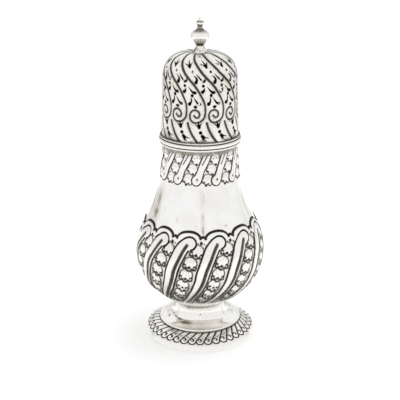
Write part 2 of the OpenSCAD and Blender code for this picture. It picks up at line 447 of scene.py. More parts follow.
def bowl_relief(turn, s):
    """Height and oxide of the bowl, with painted shade below the chasing, at a turn and a length up the
    body's line.
    """
    side = np.mod(turn - bowl_start + 180, 360) - 180
    crowded = step(-side, 12, 72) * (1 - step(-side, 100, 175)) * step(s, 46, 62)
    y = s + by_hand(turn, 0.35, 1) + back_dip * step(np.abs(side), 77, 97)
    u = turn + by_hand(turn, 0.5, 2) - crowding * crowded
    x = bowl.place(u)
    to_scallop = bowl.near(x, y, scallop_line)
    to_edge = bowl.near(x, y, flute_edge)
    to_channel = bowl.near(x, y, channel)
    to_panel = bowl.near(x, y, panel_edge)
    ornate = y < scallop(u)
    flute = bowl.inside(x, y, flute_ring)
    # The raised band along the scallops, then the convex flutes
    height = np.where(ornate, 0.1 + band_rise * pillow(to_scallop, band_w / 2), 0.0)
    from_cuts = np.minimum(np.minimum(to_edge, to_channel), to_panel)
    height = np.where(flute, -0.1 + flute_rise * pillow(from_cuts, flute_round), height)
    # Sunk panels with husks and a ringed dot, darker towards the stem
    panel = ornate & ~flute
    from_walls = np.minimum(np.minimum(to_edge, to_panel), to_scallop - band_w)
    sunk = panel * step(from_walls, 0.1, 0.9)
    height = height - sunk * (height + panel_depth)
    low = 1 - step(s, 20, 42)
    panel_tone = 0.15 + 0.58 * low
    flute_tone = 0.06 + 0.18 * (1 - step(s, 12, 46))
    husk_tone = 0.44 * (1 - step(s, 17, 32))
    oxide = np.maximum(sunk * panel_tone, flute * flute_tone)
    for above, at, below in reversed(list(zip(husk_chain, husk_chain[1:], husk_chain[2:]))):
        lean = 0.6 * math.atan2((above[0] - below[0]) * bowl.scale, above[1] - below[1])
        a, b = turned_by(*bowl.local(x, y, at, husk_size), lean)
        dots = bowl_dots if at[1] > high_husks_from else low_dots
        rise, dark, edge = husk(a, b * (1 - 0.2 * low), dots, outline=1, cap=0.7 + 0.3 * low)
        on_husk = (edge < 1) & (sunk > 0)
        height = np.where(on_husk, husk_rise * rise * sunk - panel_depth, height)
        oxide = np.where(on_husk, np.maximum(dark, husk_tone), np.maximum(oxide, dark * sunk))
    for at, level, size in bowl_punches:
        away = bowl.away(x, y, (at, level))
        height -= panel * 0.4 * groove(away, 1.2 * size)
        oxide = np.maximum(oxide, panel * ink(np.abs(away - 0.3 * size), 0.6 * size))
    cuts = [(to_scallop, 0.5, 2.0, 1, 1.85), (to_edge, 0.5, 1.5, 1, 1.25),
            (to_panel, 0.4, 1.1, 0.95, 1.25), (to_channel, 0.5, 2.6, 0.74, 2.6)]
    height, oxide = cut_lines(height, oxide, cuts)
    # Below the ornament the bowl is plain, with painted shade that deepens towards the stem
    fade = step(s, chased_from - 1.5, chased_from + 1.5)
    settle = bowl_settle * (1 - step(s, 57, 67))
    under = 0.18 + 0.12 * (1 - step(s, 2, 10))
    return (height - settle) * fade, under + (oxide - under) * np.where(ornate, fade, 1)


# Neck: bulb-ended tongues with chains of husks between them
neck_band = Chart(repeats, 24.5)
neck_from_z = 98
neck_start = 5.7
tongue = neck_band.draw(
    [(23.5, 26.5), (19.5, 22.6), (15.5, 19.5), (12, 16.6), (10, 13.6), (8, 11.1), (4.5, 9.1), (0, 8.5),
     (-4.5, 9.2), (-7, 11.4), (-5.5, 13.6), (-2, 14.8), (0.2, 16.4), (3.4, 19.6), (7, 23), (11, 26.5)]
)
tongue_fold = neck_band.draw([(9.5, 21.2), (13, 23.6), (17.2, 26.5)])
tongue_rise = 0.3
ground_depth = 0.3
neck_depth = 0.7
slot_at = (1.6, 12.3)
slot_size = (0.62, 0.95)
neck_husks = [(18, 12.4), (24.3, 18.6), (30.3, 24.6)]
neck_husk_size = 3.1
neck_husk_lean = 0.5
neck_husk_rise = 0.55
husk_tips = neck_band.draw([(9.3, 10.4), (12, 9.9), (14.8, 9.1), (16.6, 9.6), (18.6, 9.9)])
neck_punches = [(9.3, 10.4, 0.7), (14.8, 8.8, 1.6), (18.6, 9.9, 0.8), (27, 25, 0.8), (31.5, 25.6, 0.8),
                (36, 25.3, 0.8)]


def neck_relief(turn, s):
    """Height and oxide of the neck band, with painted shade under the wire, at a turn and a length up from
    the band's start.
    """
    y = s + by_hand(turn, 0.25, 5)
    x = neck_band.place(turn + by_hand(turn, 0.6, 6))
    to_tongue = neck_band.near(x, y, tongue)
    to_fold = neck_band.near(x, y, tongue_fold)
    to_tips = neck_band.near(x, y, husk_tips)
    on_tongue = neck_band.inside(x, y, tongue)
    height = np.where(on_tongue, tongue_rise * pillow(to_tongue, 1.7), 0.0)
    # The ground between the tongues is sunk above the lowest husk's shoulders
    free = np.where(on_tongue, 0, step(to_tongue, 0.0, 0.6))
    sunk = free * step(y, 12.2, 14.5)
    height = height - ground_depth * sunk
    # Oxide on the sunk ground, deepening towards the wire as painted shade
    oxide = sunk * (0.16 + 0.32 * step(y, 21, 25))
    for centre in reversed(neck_husks):
        dots = neck_dots if centre != neck_husks[0] else ()
        a, b = turned_by(*neck_band.local(x, y, centre, neck_husk_size), neck_husk_lean)
        rise, dark, edge = husk(a, b, dots, outline=0.7, cap=0.8)
        on_husk = (edge < 1) & (free > 0)
        height = np.where(on_husk, neck_husk_rise * rise * free - ground_depth, height)
        oxide = np.where(on_husk, dark, np.maximum(oxide, dark * free))
    # Painted shadow under the moulded wire
    oxide = np.maximum(oxide, 0.3 * step(y, 24.8, 27.5))
    oxide = np.maximum(oxide, np.where(on_tongue, 0, 0.7 * ink(to_tips, 0.6)))
    slot_x, slot_y = neck_band.local(x, y, slot_at, 1)
    to_slot = np.hypot(slot_x / slot_size[0], slot_y / slot_size[1])
    cuts = [(to_tongue, 0.3, 1.4, 0.9, 0.85), (to_fold, 0.25, 1.0, 0.8, 0.8), (to_slot, 0.4, 2, 0.85, 1.9)]
    for at, level, size in neck_punches:
        cuts.append((neck_band.away(x, y, (at, level)), 0.3, size, 0.95, size))
    height, oxide = cut_lines(height - 0.2 * groove(to_tips, 0.8), oxide, cuts)
    return np.maximum(height, -neck_depth), oxide


# Dome: swirled scroll lines with pierced dots, commas and tufts between them
dome = Chart(repeats, 23.2)
dome_start = 6.7
dome_rise = 0.25
dome_cut = 0.35
collar_s = dome_line.length - bell_r
scroll_points = [(-39.6, 63), (-38.2, 60), (-35.9, 56), (-32.5, 51.2), (-28.9, 48.4), (-25.4, 46),
                 (-19.2, 42.7), (-11.6, 39.6), (-4, 36.7), (3.1, 33.2), (8.9, 29.4), (14, 25.2),
                 (15.4, 21.2), (14.2, 17.2), (9.6, 14.8), (3.4, 13.6), (-3.3, 13.8), (-7.9, 15.5),
                 (-9.2, 18.1), (-6.6, 20.3), (-1, 21.2), (4.4, 20.3), (6.5, 18.4), (4.6, 16.8),
                 (0.8, 16.7), (-2.4, 18)]
scroll_line = dome.draw(scroll_points)
scroll_sweep = scroll_points[:12]
short_flute = dome.draw([(-12.6, 13.4), (-10.5, 10.6), (-7, 7.6), (-3.2, 5), (1.5, 2.4), (6.5, -0.5)])
# Pierced strokes of (degrees, millimetres, radius) points; the strokes of a tuft start from one place
tuft_top = (-41.5, 46.4, 0.8)
tuft_mid = (5.8, 10.8, 0.92)
tuft_low = (10.6, 5.5, 0.95)
pierced_strokes = [
    [tuft_top, (-44, 47.2, 0.55), (-51, 48.4, 0.2)],
    [tuft_top, (-43, 48.4, 0.6), (-46.4, 51.4, 0.2)],
    [tuft_top, (-40, 47.8, 0.5), (-37.4, 49.6, 0.2)],
    [(-35, 43.6, 0.74)],
    [(-29.2, 37.4, 1.0), (-27.8, 38.8, 0.7), (-29.2, 40.2, 0.46), (-33.4, 41.4, 0.1)],
    [(-28.6, 42.2, 0.12), (-25, 40.6, 0.36), (-21.4, 39, 0.5)],
    [(-18.2, 37.8, 0.6), (-15.8, 38.3, 0.66), (-14.6, 39.4, 0.25)],
    [(-17.8, 35.4, 0.85)],
    [(-19, 31.8, 0.95), (-16.8, 32.6, 0.62), (-16, 34, 0.2)],
    [(-11.6, 35, 0.1), (-7.6, 33, 0.44), (-4, 31.7, 0.66), (-0.6, 31.4, 0.9)],
    [(-5.3, 29.8, 0.98)],
    [(-9.6, 24.8, 1.05), (-8.2, 25.2, 0.72), (-6.9, 26.2, 0.5), (-6.5, 27.4, 0.4), (-7.2, 28.6, 0.15)],
    [(-2.6, 28.6, 0.1), (0.8, 26.6, 0.42), (4, 25.1, 0.6), (7, 24.6, 0.82)],
    [(-1.4, 23.1, 0.6), (0.2, 23, 0.85), (1.8, 23.1, 0.6)],
    [tuft_mid, (3.2, 11.7, 0.4), (-1, 12.6, 0.1)],
    [tuft_mid, (5, 12.4, 0.55), (4.1, 14.3, 0.2)],
    [tuft_mid, (7.6, 12.2, 0.4), (10, 13.6, 0.1)],
    [(8, 7.6, 1)],
    [tuft_low, (14.4, 4.9, 0.42), (20.2, 4.4, 0.15)],
    [tuft_low, (12.9, 4.1, 0.42), (16.4, 2.2, 0.15)],
    [tuft_low, (11.5, 3.9, 0.4), (12.4, 2.2, 0.15)],
]
# Soft marks, with lengths up the dome as heights
dome_marks = [(-1.5, collar_s - 8, 6, 1.8, 0.42), (-1, collar_s - 4.4, 10, 0.8, 0.7),
              (-66, 2.5, 17, 5, 0.34), (64, 2, 14, 4, 0.3)]


def dome_relief(turn, s):
    """Height and oxide of the dome, with painted shade, at a turn and a length up its line, and the
    distance to its holes.
    """
    # The hand-drawn lines crowd at one side of the crown and drift towards the back
    crowd = 6 * np.sin(np.radians(2 * turn + 70)) * step(s, 44, 58)
    back = ((1 - np.cos(np.radians(turn))) / 2) ** 2
    y = s + by_hand(turn + dome_start, 0.25, 7) - 1.2 * back
    x = dome.place(turn + dome_start + crowd - 3 * back + by_hand(turn + dome_start, 0.7, 8))
    to_scroll = dome.near(x, y, scroll_line)
    to_flute = dome.near(x, y, short_flute)
    line = np.minimum(to_scroll, to_flute)
    # The lines widen where the crown draws them together
    wide = (dome_r / np.maximum(dome_line.at(s)[..., 0], 8)) ** 0.95
    height = dome_rise * pillow(line, 2.6 * wide) - dome_rise - dome_cut * groove(line, 1.7 * wide)
    fade = 1 - step(s, collar_s - 0.6, collar_s + 0.8)
    shade = 0.07 + 0.2 * np.exp(-((line / wide / 1.5) ** 2)) + 0.1 * step(s, collar_s - 3, collar_s)
    scroll_ink = ink(to_scroll, (1.3 + 0.45 * step(s, 22, 40)) * wide)
    collar_line = 0.7 * np.exp(-(((s - collar_s) / 0.5) ** 2))
    # Grime and painted shade along the dome's lower edge over the rim, reaching up an uneven way
    grime_and_shade_reach = 3.9 + 1.2 * np.sin(np.radians(7 * turn) + 1) + 0.9 * np.sin(np.radians(19 * turn))
    rim_grime_and_shade = 0.7 * (1 - step(s, 0.6, grime_and_shade_reach))
    holes = np.minimum.reduce([dome.stroke(x, y, points) for points in pierced_strokes])
    hole_edge = 0.5 * (1 - step(holes, 0.0, 0.35))
    cuts = [0.84 * scroll_ink, 0.82 * ink(to_flute, 1.7), hole_edge]
    oxide = np.maximum.reduce([shade, collar_line, rim_grime_and_shade, *cuts, spots(turn, s, dome_marks)])
    return height * fade, oxide, holes


# Foot border: a running row of waves, each a slanted stem, a round lobe and a curl inside it
waves = 40
border = Chart(waves, 30)
border_start = -0.2
wave_stem = smooth([(3.3, 10.4), (2.3, 9.3), (1.1, 7.9), (-0.1, 6.4), (-1.2, 5), (-1.85, 4), (-2.35, 3.1)])
wave_lobe = smooth(
    [(-2.35, 3.1), (-1.95, 1.8), (-1.15, 0.95), (0, 0.5), (1.15, 0.95), (1.95, 1.8), (2.35, 3.1)]
)
wave_curl = smooth([(-1.75, 3.9), (-0.9, 4.4), (0, 4.6), (0.7, 4.1), (0.85, 3.4), (0.4, 2.8)])
wave_eye = (0.8, 3.6)
wave_tick = (1.2, 6.2)
wave_rise = 0.3
wave_round = 1.2


def border_relief(turn, s):
    """Height and oxide of the foot's border at a turn and a length up its line."""
    length = border_line.length
    x = border.place(turn + by_hand(turn, 0.3, 9))
    to_stem = border.near(x, s, wave_stem)
    to_lobe = border.near(x, s, wave_lobe)
    to_curl = border.near(x, s, wave_curl)
    to_wave = np.minimum(np.minimum(to_stem, to_lobe), to_curl)
    height = wave_rise * (pillow(to_wave, wave_round) - 1 - groove(to_wave, wave_round))
    height = height - 0.2 * groove(to_stem, 1.6)
    ends = step(s, 0, 0.4) * (1 - step(s, length - 0.5, length))
    film = 0.09 * step(s, 3, length) + 0.5 * step(s, length - 1.2, length)
    oxide = np.maximum.reduce([
        film,
        0.92 * ink(to_stem, 0.9 + 0.2 * step(s, 5, 9)),
        0.94 * ink(to_lobe, 0.82),
        0.94 * ink(to_curl, 0.75),
        0.95 * ink(border.away(x, s, wave_eye), 1),
        0.22 * ink(border.away(x, s, wave_tick), 1.6),
    ])
    return height * ends, oxide


# Nodes of the materials and the room
def feed(tree, socket, value):
    """Gives an input a value or another node's output."""
    if isinstance(value, bpy.types.NodeSocket):
        tree.links.new(value, socket)
    else:
        socket.default_value = value


def add_node(tree, kind, *values, **named):
    """A shader node with its inputs in order, and more inputs or settings by name."""
    made = tree.nodes.new("ShaderNode" + kind)
    for socket, value in zip(made.inputs, values):
        feed(tree, socket, value)
    for key, value in named.items():
        name = key.replace("_", " ")
        if name in made.inputs:
            feed(tree, made.inputs[name], value)
        else:
            setattr(made, key, value)
    return made


def add_math(tree, operation, *values):
    """Output of a math node."""
    return add_node(tree, "Math", *values, operation=operation).outputs[0]


def add_ramp(tree, value, stops):
    """Colour that follows a value through stops, each a place and a colour."""
    ramp = add_node(tree, "ValToRGB", value)
    elements = ramp.color_ramp.elements
    while len(elements) < len(stops):
        elements.new(0.5)
    for element, (at, colour) in zip(elements, stops):
        element.position = at
        element.color = (*colour, 1)
    return ramp.outputs["Color"]


# Colours of silver from bright metal through yellow film to black oxide
silver_stops = [
    (0.0, (0.94, 0.935, 0.93)),
    (0.15, (0.85, 0.83, 0.775)),
    (0.35, (0.54, 0.51, 0.45)),
    (0.55, (0.25, 0.235, 0.21)),
    (0.8, (0.06, 0.056, 0.051)),
    (1.0, (0.022, 0.02, 0.019)),
]


def silver(name, polish, film):
    """Silver with oxide in its recesses and painted shade, both drawn on its mesh, wipe marks, and a thin
    uneven yellowish film.
    """
    material = bpy.data.materials.new(name)
    material.use_nodes = True
    tree = material.node_tree
    shader = tree.nodes["Principled BSDF"]
    shader.inputs["Specular IOR Level"].default_value = 0.2

    place = add_node(tree, "TexCoord").outputs["Object"]
    stretched = add_node(tree, "Mapping", Vector=place, Scale=(1, 1, 0.2)).outputs[0]
    blotch = add_node(tree, "TexNoise", Vector=place, Scale=70, Detail=4, Roughness=0.6).outputs["Fac"]
    grain = add_node(tree, "TexNoise", Vector=place, Scale=900, Detail=3, Roughness=0.65).outputs["Fac"]
    wipe = add_node(tree, "TexNoise", Vector=stretched, Scale=1600, Detail=2, Roughness=0.5).outputs["Fac"]

    # Tarnish and painted shade: the oxide and shade drawn on the mesh, broken up by specks where it is half
    # deep, and a haze over all
    recess = add_node(tree, "Attribute", attribute_name="tarnish_and_shade").outputs["Fac"]
    haze = add_node(tree, "MapRange", Value=blotch, From_Min=0.45, From_Max=0.8, To_Max=film)
    half_deep = add_math(tree, "MULTIPLY", recess, add_math(tree, "SUBTRACT", 1.0, recess))
    speck = add_math(tree, "MULTIPLY", half_deep, add_math(tree, "MULTIPLY_ADD", grain, 2.6, -1.3))
    tarnish_and_shade = add_math(tree, "ADD", speck, add_math(tree, "ADD", recess, haze.outputs[0]))

    tree.links.new(add_ramp(tree, tarnish_and_shade, silver_stops), shader.inputs["Base Color"])
    bare = add_node(tree, "MapRange", interpolation_type="SMOOTHSTEP", Value=tarnish_and_shade,
                    From_Min=0.3, From_Max=0.85, To_Min=1, To_Max=0.15)
    tree.links.new(bare.outputs[0], shader.inputs["Metallic"])
    rough = add_math(tree, "MULTIPLY_ADD", wipe, 0.06, polish - 0.03)
    tree.links.new(add_math(tree, "MULTIPLY_ADD", tarnish_and_shade, 0.35, rough), shader.inputs["Roughness"])

    wiped = add_node(tree, "Bump", Strength=0.06, Distance=0.0002, Height=wipe).outputs["Normal"]
    hammered = add_node(tree, "Bump", Strength=0.12, Distance=0.0006, Height=blotch, Normal=wiped)
    tree.links.new(hammered.outputs["Normal"], shader.inputs["Normal"])
    return material


materials = {
    "chased_silver": silver("chased_silver", polish=0.17, film=0.14),
    "plain_silver": silver("plain_silver", polish=0.12, film=0.07),
}


# Objects and their meshes
scene = bpy.context.scene


def add_object(name, data):
    """A new object in the scene."""
    made = bpy.data.objects.new(name, data)
    scene.collection.objects.link(made)
    return made


def azimuth(turn):
    """Angle round the axis of a turn in degrees; 0 faces the viewer, and the spacing drifts a little."""
    return np.radians(turn - 90 - 3 * np.sin(np.radians(turn)))


def revolve(profile, angle):
    """Points of a profile of (radius, height) at an angle, in metres; arrays of one shape."""
    r, z = profile[..., 0], profile[..., 1]
    return np.stack([r * np.cos(angle), r * np.sin(angle), z], -1) * MM


def around(columns):
    """Turns of the columns of a grid, in degrees."""
    return np.linspace(0, 360, columns, endpoint=False)


def spread(rows, columns):
    """The rows of a grid, the same at every column."""
    return np.repeat(rows[:, None], columns, 1)


def strip(rows, columns):
    """Faces of a grid of rows by columns that closes round the axis."""
    i, j = np.meshgrid(np.arange(rows - 1), np.arange(columns), indexing="ij")
    a = i * columns + j
    b = i * columns + (j + 1) % columns
    return np.stack([a, b, b + columns, a + columns], -1).reshape(-1, 4).tolist()


def add_piece(name, points, faces, oxide, body, node, slot, crease):
    """Makes the mesh object with its oxide and painted shade, sharp above the crease angle, and hands it to
    the frame.
    """
    mesh = bpy.data.meshes.new(name)
    mesh.from_pydata(points.reshape(-1, 3).tolist(), [], faces)
    layer = mesh.attributes.new("tarnish_and_shade", "FLOAT", "POINT")
    layer.data.foreach_set("value", np.asarray(oxide, np.float32).ravel())
    mesh.validate()
    mesh.shade_smooth()
    mesh.set_sharp_from_angle(angle=math.radians(crease))
    piece = add_object(name, mesh)
    piece.data.materials.append(materials[slot])
    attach(piece, body)
    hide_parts(node)


def chased(name, skin, angle, oxide, body, node):
    """A chased piece from its grid of (radius, height) points."""
    faces = strip(*angle.shape)
    add_piece(name, revolve(skin, angle), faces, oxide, body, node, "chased_silver", crease=40)


def turned(name, outline, body, node, crevices, marks=(), columns=192):
    """A plain turned piece from its closed outline.

    Crevices, each a height, a width and a depth, and soft marks darken it with oxide, painted shade and
    painted reflections."""
    outline = np.vstack([outline, outline[:1]])
    turn = around(columns)
    points = revolve(spread(outline, columns), np.radians(turn)[None])
    oxide = np.zeros(len(outline))
    for height, width, depth in crevices:
        oxide = np.maximum(oxide, depth * np.exp(-(((outline[:, 1] - height) / width) ** 2)))
    oxide = np.maximum(oxide[:, None], spots(turn[None] + 90, outline[:, 1:], marks))
    add_piece(name, points, strip(len(outline), columns), oxide, body, node, "plain_silver", crease=32)


def more_rows(skin, turn, oxide, rest, rest_oxide):
    """A grid with the rows of a plain profile after its last row."""
    columns = turn.shape[1]
    skin = np.concatenate([skin, spread(rest, columns)])
    turn = np.concatenate([turn, np.repeat(turn[-1:], len(rest), 0)])
    oxide = np.concatenate([oxide, spread(rest_oxide, columns)])
    return skin, turn, oxide


# Body: the chased bowl, and the plain shoulder and neck with the lip and the inside
body_columns = repeats * 54
bowl_top = 75.0
bottom_film = 0.5
inside_film = 0.3
# Soft marks on the plain shoulder: the tall ones are painted reflections, grey streaks down it, and the
# small ones are smudges
shoulder_smudges_and_reflections = [
    (3.3, 81, 1.8, 3.4, 0.42), (3.4, 87, 2.8, 5.5, 0.25), (2.6, 98, 3.6, 8, 0.12), (4.8, 99, 0.9, 5, 0.2),
    (-66, 94, 4.6, 7.5, 0.42), (-65, 86.5, 5, 3.6, 0.52), (-84, 90, 6, 9, 0.44), (74, 91, 3, 10, 0.24),
    (-28, 85.5, 1.2, 1.6, 0.2), (-4.8, 83, 1.3, 0.6, 0.2), (31, 82.5, 2.4, 0.6, 0.34),
    (-49, 90.5, 1, 1, 0.12), (-72, 92, 11, 12, 0.27), (77, 95, 8, 12, 0.1),
]


def make_bowl():
    """The chased bowl and its bottom; rows are closest where it is finest, and lean with the channels."""
    rows = np.concatenate([
        np.arange(0, 30, 0.6),
        np.arange(30, 55, 0.45),
        np.arange(55, 72.5, 0.3),
        np.linspace(72.5, bowl_top, 5),
    ])
    lean = np.interp(rows, *smooth(channel_points).T[::-1])
    turn = around(body_columns)[None] + lean[:, None]
    height, oxide = bowl_relief(turn + bowl_start, spread(rows, body_columns))
    oxide = np.maximum(oxide, spots(turn, body_line.at(rows)[:, 1:], shoulder_smudges_and_reflections))
    bottom = np.array([(r, foot_h) for r in (2 * axis_gap, stem_r * 0.5, stem_r - 0.4)])
    skin = np.concatenate([spread(bottom, body_columns), body_line.raised(rows, height)])
    turn = np.concatenate([np.repeat(turn[:1], len(bottom), 0), turn])
    oxide = np.concatenate([np.full((len(bottom), body_columns), bottom_film), oxide])
    chased("body_bowl", skin, azimuth(turn), oxide, "base", "body_shell")


def make_neck():
    """The plain shoulder and the chased neck, with rows that lean with the tongues."""
    start = body_line.along(neck_from_z)
    rows = np.concatenate([
        np.linspace(bowl_top, start + 6.4, 32),
        np.arange(start + 6.7, start + 26.5, 0.3),
        np.linspace(start + 27, body_line.length, 4),
    ])
    up = rows - start
    lean = np.interp(up, [9, 25], [0, 15.5])
    turn = around(body_columns)[None] + lean[:, None]
    height, oxide = neck_relief(turn + neck_start, spread(up, body_columns))
    oxide = np.maximum(oxide, spots(turn, body_line.at(rows)[:, 1:], shoulder_smudges_and_reflections))
    skin = body_line.raised(rows, height * (1 - step(up, 25, 26.4))[:, None])
    # The lip, the bore that the sleeve fits, and the inside of the body down to its floor
    inside_z = foot_h + chase_depth
    wall = beside(body_line.points[::-1], -chase_depth)
    wall = wall[(wall[:, 1] < bezel_z - 2) & (wall[:, 1] > inside_z)][::12]
    bore = [(mouth_r, z) for z in (mouth_z, neck_z, bezel_z)]
    inside = np.vstack([bore, wall, [(2 * axis_gap, inside_z)]])
    skin, turn, oxide = more_rows(skin, turn, oxide, inside, np.full(len(inside), inside_film))
    chased("body_neck", skin, azimuth(turn), oxide, "base", "body_shell")


make_bowl()
make_neck()

# Foot: the chased border with its ring, the stem and dish, and the plain rim
border_columns = waves * 18
under_film = 0.4
ring_line = 0.6


def make_border():
    """The border with its ring and underside; rows lean with the stems of the waves."""
    length = border_line.length
    rows = np.linspace(0, length, 44)
    lean = np.interp(rows, [3, length], [0, 9])
    turn = around(border_columns)[None] + lean[:, None]
    height, oxide = border_relief(turn + border_start, spread(rows, border_columns))
    # The ring round the upper edge, then the underside
    ring_z = foot_ring_h - ring_bead
    seam_r = dish_r + solder_gap
    ring = arc((ring_r - ring_bead, ring_z), (ring_bead, ring_bead), 0, 180)
    under = beside(border_line.points, foot_wall)
    under = under[(under[:, 0] > seam_r) & (under[:, 0] < border_out_r)][::-4]
    edge = [(border_out_r, under[-1, 1]), border_foot]
    rest = np.vstack([ring, [(seam_r, ring_z - foot_wall)], under, edge])
    rest_oxide = np.full(len(rest), under_film)
    rest_oxide[: len(ring)] = 0
    rest_oxide[0] = ring_line
    skin, turn, oxide = more_rows(border_line.raised(rows, height), turn, oxide, rest, rest_oxide)
    chased("foot_border_chased", skin, np.radians(turn - 90), oxide, "base", "foot_border")


make_border()

crease_at = (crease_r, crease_h)
dish = sweep((dish_r, foot_ring_h - ring_bead), crease_at, (0.4, 0.1), (0.4, 0.5), 24)
stem = sweep(crease_at, (stem_r, foot_h), (0.55, 0.16), (0, 0.46), 36)
foot_line = np.vstack([dish, stem[1:]])
foot_inner = np.minimum(beside(foot_line, foot_wall)[::-2], (dish_r, foot_h))
turned(
    "foot_stem_and_dish",
    np.vstack([foot_line, foot_inner]),
    "base", "foot_dome",
    # Painted shade on the stem's top under the bowl, and at the crease a painted reflection of the bowl's
    # underside
    crevices=[(foot_h, 2.8, 0.26), (foot_h - 4, 3.5, 0.09), (crease_h - 0.6, 1.6, 0.06)],
    marks=[
        # Dark marks along the crease on the left, and a speck on the stem
        (-27, crease_h - 0.5, 13, 1, 0.6), (-32, crease_h - 0.9, 9, 0.4, 0.8),
        (-44, crease_h + 0.1, 9, 0.5, 0.66), (-58, crease_h + 0.3, 9, 0.5, 0.55),
        (-72, crease_h + 0.6, 9, 0.6, 0.46), (-76, crease_h - 1.2, 5, 0.5, 0.55),
        (-82, crease_h, 24, 1.6, 0.15), (0.5, crease_h + 4.2, 1.6, 0.5, 0.75),
        # Painted reflections down the stem's right and left sides
        (64, foot_h - 4.5, 3.5, 3.5, 0.3), (-60, foot_h - 4, 4, 3, 0.2),
        # Painted shade at the stem's top on the left
        (-28, foot_h - 0.6, 24, 1.1, 0.42),
    ],
)

rim_in_r = border_out_r + solder_gap
stand_r = foot_r - foot_rim_w
turned(
    "foot_edge",
    rounded([
        (stand_r, 0, 0.4), (foot_r, 0, 0.4), (foot_r, foot_edge_h, 0.9), (rim_in_r, foot_rim_h, 0.1),
        (rim_in_r, foot_rim_h - foot_rim_wall, 0.1), (stand_r, foot_edge_h + 1, 0.4),
    ]),
    "base", "foot_rim",
    crevices=[(foot_rim_h, 0.25, 0.12), (foot_edge_h, 1.6, 0.05)],
)


# Moulded wires at the parting, and the sleeve
def half_round(inner_r, outer_r, low, high):
    """Outer side of a moulded wire, from its lower edge to its upper edge."""
    half = (high - low) / 2
    swell = min(half, outer_r - inner_r)
    return arc((outer_r - swell, low + half), (swell, half), -90, 90)


wire_in_r = neck_r + solder_gap
neck_wire = half_round(wire_in_r, neck_rim_r, neck_rim_z, mouth_z)
turned(
    "neck_wire",
    np.vstack([[(wire_in_r, neck_rim_z)], neck_wire, [(wire_in_r, mouth_z)]]),
    "base", "neck_rim",
    # The band at the wire's foot is painted shadow in the join with the neck
    crevices=[(mouth_z, 0.25, 0.9), (neck_rim_z, 0.45, 0.75), ((neck_rim_z + mouth_z) / 2, 1.5, 0.08)],
)

sleeve_r = bezel_r + solder_gap
bead_in_r = dome_r + solder_gap
cover_wire = half_round(sleeve_r, cover_rim_r, cover_z, dome_z)
cover_bead = half_round(bead_in_r, cover_rim_r - bead_inset, dome_z, cover_bead_z)
cover_seat = [(bead_in_r, cover_bead_z), (bead_in_r, dome_z), (sleeve_r, dome_z)]
turned(
    "cover_wire",
    np.vstack([[(sleeve_r, cover_z)], cover_wire, cover_bead, cover_seat]),
    "cover", "cover_rim",
    # The band at the bead's top is painted shade where the dome's edge meets it
    crevices=[(dome_z, 0.35, 0.95), (cover_z, 0.25, 0.85), (cover_bead_z, 0.55, 0.8),
              ((dome_z + cover_bead_z) / 2, 1, 0.2), ((cover_z + dome_z) / 2, 2, 0.1)],
)

sleeve_in_r = bezel_r - bezel_wall
turned(
    "cover_sleeve",
    rounded(
        [(sleeve_in_r, bezel_z, 0.2), (bezel_r, bezel_z, 0.3),
         (bezel_r, dome_z, 0.1), (sleeve_in_r, dome_z, 0.1)],
        12,
    ),
    "cover", "cover_bezel",
    crevices=[(bezel_z, 0.9, 0.55), (bezel_z + 2, 6, 0.22), (cover_z, 0.8, 0.6)],
    marks=[(at, bezel_z + 2.4, 5, 2.6, 0.36) for at in range(0, 360, 40)],
)

# Cover: the dome is cut through where the strokes are, with walls between its two skins
dome_columns = repeats * 36
# The dome's inside and its hole walls are near black: dull oxide, with painted shade so the holes read dark
dome_inside_oxide_and_shade = 0.95
hole_oxide_and_shade = (0.6, 0.9)


def pairs(ring):
    """Each item of a ring with the one after it."""
    return zip(ring, ring[1:] + ring[:1])


def pierced(outer, inner, field, oxide):
    """Points, faces and oxide of two skins with walls between them, kept where the field is above zero."""
    rows, columns = field.shape
    points = [*outer.reshape(-1, 3), *inner.reshape(-1, 3)]
    stain = [*oxide.ravel(), *np.full(field.size, dome_inside_oxide_and_shade)]
    value = field.ravel()
    keep = value > 0
    count = field.size
    faces, cut = [], {}

    def crossing(a, b):
        """The pair of new points, outer and inner, where the edge from a to b leaves the metal."""
        a, b = min(a, b), max(a, b)
        if (a, b) not in cut:
            t = np.clip(value[a] / (value[a] - value[b]), 0.05, 0.95)
            cut[a, b] = (len(points), len(points) + 1)
            for side in (0, count):
                points.append(points[a + side] * (1 - t) + points[b + side] * t)
            stain.extend(hole_oxide_and_shade)
        return cut[a, b]

    for ring in strip(rows, columns):
        state = [keep[k] for k in ring]
        if all(state):
            faces.append(ring)
            faces.append([k + count for k in reversed(ring)])
        elif any(state):
            loop = []
            for here, there in pairs(ring):
                if keep[here]:
                    loop.append((here, here + count, "corner"))
                if keep[here] != keep[there]:
                    loop.append((*crossing(here, there), "leaves" if keep[here] else "enters"))
            faces.append([p[0] for p in loop])
            faces.append([p[1] for p in reversed(loop)])
            for p, q in pairs(loop):
                if p[2] == "leaves" and q[2] == "enters":
                    faces.append([q[0], p[0], p[1], q[1]])
    # The lower and the upper edge of the dome
    for b, a in pairs(list(range(columns))):
        faces.append([a, b, b + count, a + count])
    for a, b in pairs(list(range((rows - 1) * columns, rows * columns))):
        faces.append([a, b, b + count, a + count])
    return np.array(points), faces, np.array(stain)


